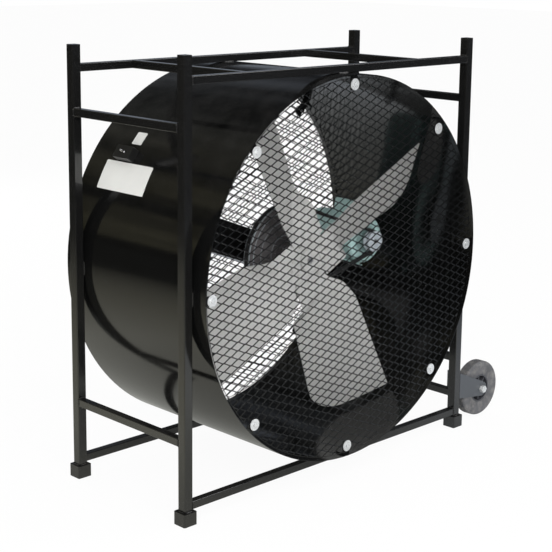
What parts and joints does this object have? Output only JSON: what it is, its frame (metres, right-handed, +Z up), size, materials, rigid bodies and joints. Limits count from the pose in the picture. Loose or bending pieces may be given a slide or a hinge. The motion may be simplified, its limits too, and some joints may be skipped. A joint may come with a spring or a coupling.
{
  "type": "drum fan",
  "caption": "Belt-driven drum fan in a welded square-tube frame with stacking feet, mesh guards, pitched blades, a motor on a cross channel and tipping wheels.",
  "frame": {"origin": "on the floor, midway between the four foot sockets", "axes": "+X along the front towards the wheels, +Y from the front mouth to the rear mouth along the shaft, +Z up"},
  "size_m": [1.5564, 0.674, 1.408],
  "materials": {
    "frame_paint": "gloss black paint on steel tube",
    "drum_paint": "gloss black paint on rolled sheet",
    "guard_paint": "black paint on expanded steel",
    "zinc_plate": "bright zinc plate",
    "channel_paint": "gloss black paint on bent plate",
    "blade_metal": "dull light grey sheet",
    "rivet_metal": "bright rivet",
    "sheave_iron": "dark iron with turned rims",
    "bright_steel": "turned steel",
    "bearing_iron": "painted casting",
    "belt_rubber": "black rubber belt",
    "motor_paint": "satin pale green paint",
    "tyre_rubber": "dusty grey rubber",
    "wheel_plastic": "dark moulded plastic",
    "bracket_paint": "satin dark paint on plate",
    "switch_paint": "black paint on pressed box",
    "toggle_metal": "plated lever"
  },
  "bodies": {
    "frame": {"axle_bolts": "zinc_plate", "axle_nuts": "zinc_plate", "axle_rail": "frame_paint", "bearing_bolts": "zinc_plate", "bottom_rail_front": "frame_paint", "bottom_rail_rear": "frame_paint", "drum_shell": "drum_paint", "foot_socket_front_left": "frame_paint", "foot_socket_front_right": "frame_paint", "foot_socket_rear_left": "frame_paint", "foot_socket_rear_right": "frame_paint", "front_bearing_housing": "bearing_iron", "front_guard": "guard_paint", "front_motor_bell": "motor_paint", "guard_bolts": "zinc_plate", "guard_tabs": "drum_paint", "guard_washers": "zinc_plate", "junction_box": "motor_paint", "lower_side_rail_left": "frame_paint", "lower_side_rail_right": "frame_paint", "motor_bolts": "zinc_plate", "motor_cradle": "motor_paint", "motor_shell": "motor_paint", "motor_stator": "bright_steel", "post_front_left": "frame_paint", "post_front_right": "frame_paint", "post_rear_left": "frame_paint", "post_rear_right": "frame_paint", "rear_bearing_housing": "bearing_iron", "rear_bearing_plate": "channel_paint", "rear_guard": "guard_paint", "rear_motor_bell": "motor_paint", "support_channel": "channel_paint", "switch_box": "switch_paint", "top_cross_members": "frame_paint", "top_rail_front": "frame_paint", "top_rail_rear": "frame_paint", "upper_side_rail_left": "frame_paint", "upper_side_rail_right": "frame_paint", "v_belt": "belt_rubber", "wheel_bracket_front": "bracket_paint", "wheel_bracket_rear": "bracket_paint"},
    "fan_rotor": {"fan_shaft": "bright_steel", "fan_hub": "blade_metal", "blade_1": "blade_metal", "blade_2": "blade_metal", "blade_3": "blade_metal", "blade_4": "blade_metal", "blade_rivets": "rivet_metal", "driven_sheave": "sheave_iron", "bearing_sleeves": "bright_steel"},
    "motor_armature": {"motor_rotor": "bright_steel", "drive_sheave": "sheave_iron"},
    "front_wheel": {"wheel_tyre_front": "tyre_rubber", "wheel_hub_front": "wheel_plastic"},
    "rear_wheel": {"wheel_tyre_rear": "tyre_rubber", "wheel_hub_rear": "wheel_plastic"},
    "switch_lever": {"switch_toggle": "toggle_metal"}
  },
  "joints": [
    {"name": "fan_spin", "type": "hinge", "parent": "frame", "child": "fan_rotor", "pos_m": [0, 0, 0.697], "axis": [0, 1, 0], "continuous": true},
    {"name": "motor_spin", "type": "hinge", "parent": "frame", "child": "motor_armature", "pos_m": [0.44988, 0, 0.67748], "axis": [0, 1, 0], "continuous": true},
    {"name": "front_wheel_spin", "type": "hinge", "parent": "frame", "child": "front_wheel", "pos_m": [0.78805, -0.2494, 0.1106], "axis": [0, 1, 0], "continuous": true},
    {"name": "rear_wheel_spin", "type": "hinge", "parent": "frame", "child": "rear_wheel", "pos_m": [0.78805, 0.2494, 0.1106], "axis": [0, 1, 0], "continuous": true},
    {"name": "switch_throw", "type": "hinge", "parent": "frame", "child": "switch_lever", "pos_m": [-0.52616, 0.1635, 1.07093], "axis": [0.5793, 0, 0.8151], "range_deg": [0, 40]}
  ],
  "couplings": [
    {"joint": "motor_spin", "follows": "fan_spin", "ratio": 4.8457}
  ]
}
